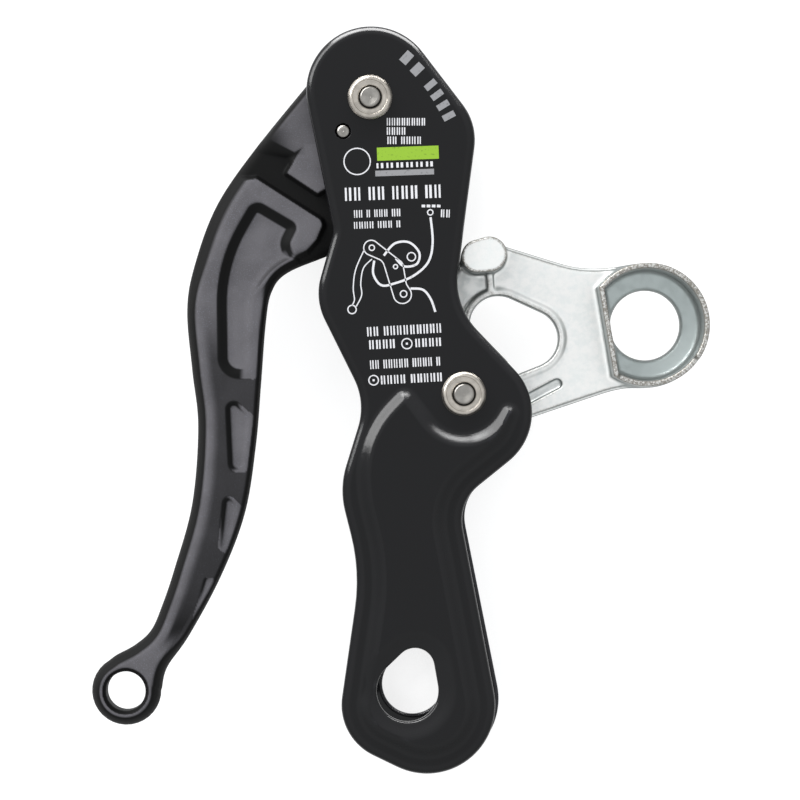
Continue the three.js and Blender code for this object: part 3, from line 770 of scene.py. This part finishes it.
def with_drum(block, web):
    """The web with the drum on it, the drum's recess with its sloping floor, and the eye."""
    dx, dy = block.x - CAM_EYE[0], block.y - CAM_EYE[1]
    from_eye = np.hypot(dx, dy)
    angle = np.degrees(np.arctan2(dy, dx)) % 360
    step = DRUM_STEP * fade(angle, DRUM_STEP_FROM, 5) * fade(angle, DRUM_STEP_TO, -5)
    upright = block.slab(CAM_LOW + 1, CAM_TOP) + step * (block.z > DRUM_STEP_LOW)
    wall = rounded_and(block.outline(drum_outline(0)), upright, 0.4)
    web = rounded_or(web, wall, 1.8)
    floor = DRUM_FLOOR + DRUM_FLOOR_RISE * (from_eye - CAM_EYE_HOLE)
    recess = leaning(block.outline(drum_outline(DRUM_WALL)), DRUM_LEAN, 11, CAM_TOP, block.z)
    web = rounded_and(web, -rounded_and(recess, floor - block.z, 1.6), 0.35)
    return rounded_and(web, CAM_EYE_HOLE - from_eye, 1.3)


def cam():
    low, high = (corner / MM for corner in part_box("swing_cam"))
    block = Block(low, high, CAST_STEP)
    window = block.ring(CAM_WINDOW_RING)
    body = with_drum(block, cam_web(block, window))
    body = rounded_and(body, -window, 0.8)
    groove_floor = CAM_WEB - GROOVE_DEPTH
    groove = rounded_and(capsule(block, *CAM_GROOVE, GROOVE_HALF), groove_floor - block.z, 1.2)
    body = rounded_and(body, -groove, 0.4)
    piece = block.mesh("swing_cam_skin", bored(block, body, LOWER))
    mark_edges(piece)
    mark_tones(piece)
    finished(piece, ZINC, "cam", "zinc_casting", "swing_cam")


def mark_tones(piece):
    """Stores the cam's tilt for the painted shade on its walls, where its hollows get painted shade, and the
    worn rim of its drum.
    """
    places, normals = point_arrays(piece)
    x, y, z = places.T
    # tilt drives the painted shade on steep walls
    set_attribute(piece, "tilt", 1 - np.abs(normals[:, 2]))
    # the drum floor, the recess left of the rib and the groove get painted shade through hollow
    in_drum = (outline_distance(x, y, drum_outline(1.7)) < 0) & (z < CAM_TOP - 1) & (z > 9)
    in_recess = (x < 30.0) & (z > CAM_LOW + 1) & (z < CAM_WEB) & (y > 18)
    in_groove = outline_distance(x, y, CAM_GROOVE, closed=False) < 1.5
    in_groove &= (z < CAM_WEB - 0.4) & (z > 10)
    set_attribute(piece, "hollow", in_drum + 0.15 * in_recess + 0.4 * in_groove)
    on_rim = (outline_distance(x, y, drum_outline(1.15)) > -1.5) & (z > CAM_TOP - 2.6)
    on_rim &= outline_distance(x, y, drum_outline(0)) < 0.5
    set_attribute(piece, "rim", on_rim * 0.75)


# ---- turned pieces ----
def washer(name, axis, body, seat, height):
    """A rivet washer: leaning rim, a ridge, then a shallow dish towards the axle."""
    corners = [
        (3.85, 0.0, 0), (7.5, 0.0, 0.3), (7.5, 0.28, 0.8), (6.7, 0.84, 2.5), (5.9, 1.0, 0.8),
        (5.65, 0.80, 0.5), (5.3, 0.86, 1), (4.3, 0.74, 1), (3.85, 0.62, 0.5),
    ]
    profile = rounded_profile([(r, seat + h * height, share) for r, h, share in corners], 0.35)
    finished(turned(name + "_skin", axis, profile), WASHER_STEEL, body, "rivet_steel", name)


def axle_piece(name, axis):
    """A riveted axle with a dished punch mark in each end."""
    low, high = bottom(name), top(name)
    r = 3.4
    corners = [
        (0.02, high - 0.9, 0), (0.7, high - 0.85, 1), (2.5, high - 0.12, 1), (2.9, high, 1),
        (r, high - 0.5, 1), (r, low + 0.5, 1), (2.9, low, 1), (2.5, low + 0.12, 1),
        (0.7, low + 0.85, 1), (0.02, low + 0.9, 0),
    ]
    profile = rounded_profile(corners, 0.3)
    finished(turned(name + "_skin", axis, profile), AXLE_STEEL, "front_side", "rivet_steel", name)


def stop_pin():
    low, high = bottom("stop_pin"), top("stop_pin")
    corners = [
        (0.02, high, 0), (1.1, high - 0.06, 1), (1.9, high - 0.45, 1.4), (2.2, high - 1.0, 1),
        (2.2, low + 0.3, 0), (1.9, low, 0), (0.02, low, 0),
    ]
    profile = rounded_profile(corners, 0.4)
    finished(turned("stop_pin_skin", PIN, profile, 48), AXLE_STEEL, "front_side", "rivet_steel", "stop_pin")


def turned_pieces():
    for name, axis in (("upper_axle", UPPER), ("lower_axle", LOWER)):
        axle_piece(name, axis)
    for name, axis in (("upper_washer_front", UPPER), ("lower_washer_front", LOWER)):
        washer(name, axis, "front_side", bottom(name), top(name) - bottom(name))
    for name, axis in (("upper_washer_back", UPPER), ("lower_washer_back", LOWER)):
        washer(name, axis, "front_side", top(name), bottom(name) - top(name))
    stop_pin()


def hidden_pieces():
    """Pieces inside the hubs keep their CAD shape and get real materials."""
    for name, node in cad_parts.items():
        if "spring" in name:
            material = WIRE
        elif "bush" in name:
            material = BRONZE
        elif "thrust_ring" in name:
            material = NYLON
        elif "sleeve" in name:
            material = WIRE
        else:
            continue
        node.data.materials.clear()
        node.data.materials.append(material)


# ---- printed marks: plain bars and lines where the real plate has its label ----
STAMP = [(-0.3, 113.6), (3.2, 109.9), (7.9, 104.6), (10, 101.4), (12, 98.1), (13.9, 94.7)]
LABEL_ROWS = [  # x, y, characters in each word, height, pitch, turn in degrees
    (-4.4, 91.6, [8], 2.5, 1.66),
    (-4.4, 88.5, [4], 2.5, 1.66),
    (-4.2, 85.4, [2, 4], 2.5, 1.8),
    (-7.8, 77.3, [6], 1.7, 3.3, 2),
    (-18.3, 66.4, [2, 2, 3, 2], 4.4, 3.1, 2),
    (-15.3, 60.8, [2, 1, 3, 2], 2.5, 1.65, 2),
    (-15.3, 57.1, [4, 3, 1], 2.3, 1.75, 2),
    (13.6, 61.0, [2], 2.6, 1.8, -2),
    (-10.9, 21.2, [2, 9], 3.1, 2.2, 3),
    (-10.2, 16.9, [4], 3.0, 2.3, 3),
    (5.2, 17.6, [4], 2.8, 2.3, 3),
    (-9.9, 10.3, [2, 5, 4, 1], 2.9, 1.75, 3),
    (-6.3, 5.2, [4, 5], 2.9, 2.2, 3),
]
ROPE = [(10.2, 61), (10.9, 52.5), (9.4, 46), (4.6, 41.5), (-1.5, 39), (-6.2, 38.3), (-8.9, 42), (-8.6, 46.5)]
COIL = [(-5.4, 48.2), (-1.8, 52.2), (3, 52.6), (6.4, 49.2), (5.6, 45.4), (1.4, 44.6), (-1.4, 47.2)]
TAIL = [(3.5, 37.2), (7.6, 36.8), (10.2, 33.8), (11.8, 29.4)]
DRAWN_PLATE = [
    (-9.6, 50.8, 2.5, LOBE), (-8.2, 44.2, 3, HOLLOW), (0.8, 35.2, 3, LOBE),
    (4.2, 39.5, 2.2, HOLLOW), (-1.3, 44.4, 2.4, LOBE),
]
DRAWN_LEVER = [(-12, 50), (-14.8, 43.5), (-15.6, 37.5), (-15.2, 33.5), (-16, 31.6)]
LEVER_INNER = [(-9.4, 47), (-12.2, 44), (-13.1, 39), (-12.8, 35), (-14.6, 31.2)]
DRAWN_CIRCLES = [  # x, y, radius
    (-14.3, 79.6, 4.4), (-16, 30.2, 1.4), (-9.4, 50.8, 0.9), (1.2, 35.4, 1.1), (-1.5, 44.5, 0.7),
    (3.8, 47.8, 1.4), (2.3, 18.8, 1.7), (-8.8, 6.6, 1.6), (10.1, 62.6, 0.9),
]


def bars(name, rows, material):
    """Flat bars (x, y, width, height, turn in degrees) printed on the front plate."""
    points, faces = [], []
    for x, y, width, height, turn in rows:
        cos, sin = math.cos(math.radians(turn)), math.sin(math.radians(turn))
        corners = [(0, 0), (width, 0), (width, height), (0, height)]
        base = len(points)
        for z in INK_LAYER:
            for u, v in corners:
                points.append((x + u * cos - v * sin, y + u * sin + v * cos, z))
        faces += [[base + k for k in quad] for quad in ((3, 2, 1, 0), (4, 5, 6, 7))]
        faces += [[base + k, base + (k + 1) % 4, base + 4 + (k + 1) % 4, base + 4 + k] for k in range(4)]
    finished(add_piece(name, points, faces, smooth=False), material, "front_side", "anodised_plate")


def dashes(x, y, words, height, pitch, turn=0.0):
    """A line of print, as two thin upright strokes for each character of the words' lengths."""
    chance = random.Random(words[0] * 7 + len(words))
    a = math.radians(turn)
    row = []
    along = 0.0
    for word in words:
        for _ in range(word):
            for offset in (0.0, 0.44 * pitch):
                width = pitch * chance.uniform(0.19, 0.27)
                far = along + offset
                row.append((x + far * math.cos(a), y + far * math.sin(a), width, height, turn))
            along += pitch
        along += pitch * 0.55
    return row


def strokes(name, paths, width, material):
    """Printed lines of constant width along smooth paths."""
    points, faces = [], []
    for path in paths:
        path = np.array(path, float)
        way = np.gradient(path, axis=0)
        side = np.stack([-way[:, 1], way[:, 0]], axis=1)
        side *= width / 2 / np.linalg.norm(side, axis=1, keepdims=True)
        base = len(points)
        for z in INK_LAYER:
            for p, s in zip(path, side):
                points += [(*(p - s), z), (*(p + s), z)]
        count = len(path) * 2
        for k in range(0, count - 2, 2):
            low, high = base + k, base + count + k
            faces.append((high, high + 2, high + 3, high + 1))
            faces.append((low + 1, low + 3, low + 2, low))
            faces.append((low, low + 2, high + 2, high))
            faces.append((high + 1, high + 3, low + 3, low + 1))
    finished(add_piece(name, points, faces, smooth=False), material, "front_side", "anodised_plate")


def markings():
    stamp = []
    for i, (x, y) in enumerate(STAMP):
        stamp.append((x, y, 2.1 if i > 1 else 2.9, 4.3, -42 - 4 * i))
    bars("printed_stamp", [*stamp, (-8.2, 74.6, 19.6, 1.9, 2)], GREY_INK)
    white = [bar for row in LABEL_ROWS for bar in dashes(*row)]
    white += [(7.2 + 1.7 * i, 64.3, 1.2, 0.9, -2) for i in range(4)]
    bars("printed_bars", white, WHITE_INK)
    bars("printed_stripe", [(-7.6, 79.8, 20.6, 4.4, 2)], GREEN_INK)
    bars("printed_dots", [(1.95, 18.45, 0.7, 0.7, 0), (-9.15, 6.25, 0.7, 0.7, 0)], WHITE_INK)
    strokes("printed_ropes", [curve_points(knots) for knots in (ROPE, COIL, TAIL)], 0.75, WHITE_INK)
    plate = ring_points(DRAWN_PLATE)
    levers = [curve_points(knots) for knots in (DRAWN_LEVER, LEVER_INNER)]
    circles = [arc_points((x, y), r, 0, 2 * math.pi, 33) for x, y, r in DRAWN_CIRCLES]
    strokes("printed_lines", [plate + plate[:1], *levers, *circles], 0.4, WHITE_INK)


# ---- stage, light and camera ----
def soft_light(name, place, target, width, depth, watts):
    light = bpy.data.lights.new(name, "AREA")
    light.shape = "RECTANGLE"
    light.size, light.size_y = width, depth
    light.energy = watts
    lamp = bpy.data.objects.new(name, light)
    lamp.location = place
    lamp.rotation_euler = (Vector(target) - Vector(place)).to_track_quat("-Z", "Y").to_euler()
    bpy.context.scene.collection.objects.link(lamp)
    return lamp


def light_only(lamp, *pieces):
    """Keeps a light to the named pieces."""
    lit = bpy.data.collections.new(lamp.name + "_lit")
    for name in pieces:
        lit.objects.link(bpy.data.objects[name])
    lamp.light_linking.receiver_collection = lit


def stage():
    far, drop = 3000, -0.3
    corners = [(-far, -far, drop), (far, -far, drop), (far, far, drop), (-far, far, drop)]
    floor = add_piece("floor", corners, [(0, 1, 2, 3)])
    paper = Finish("paper", (0.4, 0.4, 0.4), 0.9, specular=0.1)
    paper.shader.inputs["Emission Color"].default_value = (1, 1, 1, 1)
    paper.shader.inputs["Emission Strength"].default_value = 0.78  # like a light table
    paper.bump([(paper.noise(0.05, 2), 0.02)])
    floor.data.materials.append(paper.material)


def studio_sky():
    """A light tent: even all round, a little dimmer straight above and dark at the horizon."""
    world = bpy.data.worlds.new("studio")
    world.use_nodes = True
    nodes, links = world.node_tree.nodes, world.node_tree.links
    direction = nodes.new("ShaderNodeTexCoord")
    split = nodes.new("ShaderNodeSeparateXYZ")
    ramp = nodes.new("ShaderNodeValToRGB")
    links.new(direction.outputs["Generated"], split.inputs["Vector"])
    links.new(split.outputs["Z"], ramp.inputs["Fac"])
    links.new(ramp.outputs["Color"], nodes["Background"].inputs["Color"])
    steps = [(0.0, 0.3), (0.15, 0.65), (0.4, 0.9), (0.8, 1.0), (0.96, 0.88), (1.0, 0.78)]
    stops = ramp.color_ramp.elements
    while len(stops) < len(steps):
        stops.new(0.5)
    for stop, (place, value) in zip(stops, steps):
        stop.position = place
        stop.color = (value * 0.98, value, value * 1.02, 1)
    bpy.context.scene.world = world


def camera():
    """Straight above, at four times the object's length."""
    height, picture_width = 1.0, 0.26667
    lens = bpy.data.cameras.new("camera")
    lens.sensor_width = 36
    lens.lens = lens.sensor_width * height / picture_width
    view = bpy.data.objects.new("camera", lens)
    view.location = (0, 0, height + FRONT_FACE * MM + 0.001)
    bpy.context.scene.collection.objects.link(view)
    bpy.context.scene.camera = view


camera()
stage()
studio_sky()
soft_light("key", place=(-1.28, 1.38, 0.72), target=(0, 0, 0.02), width=2.4, depth=0.6, watts=50)
bpy.context.scene.view_settings.view_transform = "Standard"
side_plates()
rim = soft_light("rim", place=(0.15, 2.0, 0.36), target=(0, 0, 0.03), width=3.2, depth=0.55, watts=160)
light_only(rim, "front_plate_skin", "back_plate_skin")
handle()
cam()
turned_pieces()
hidden_pieces()
markings()
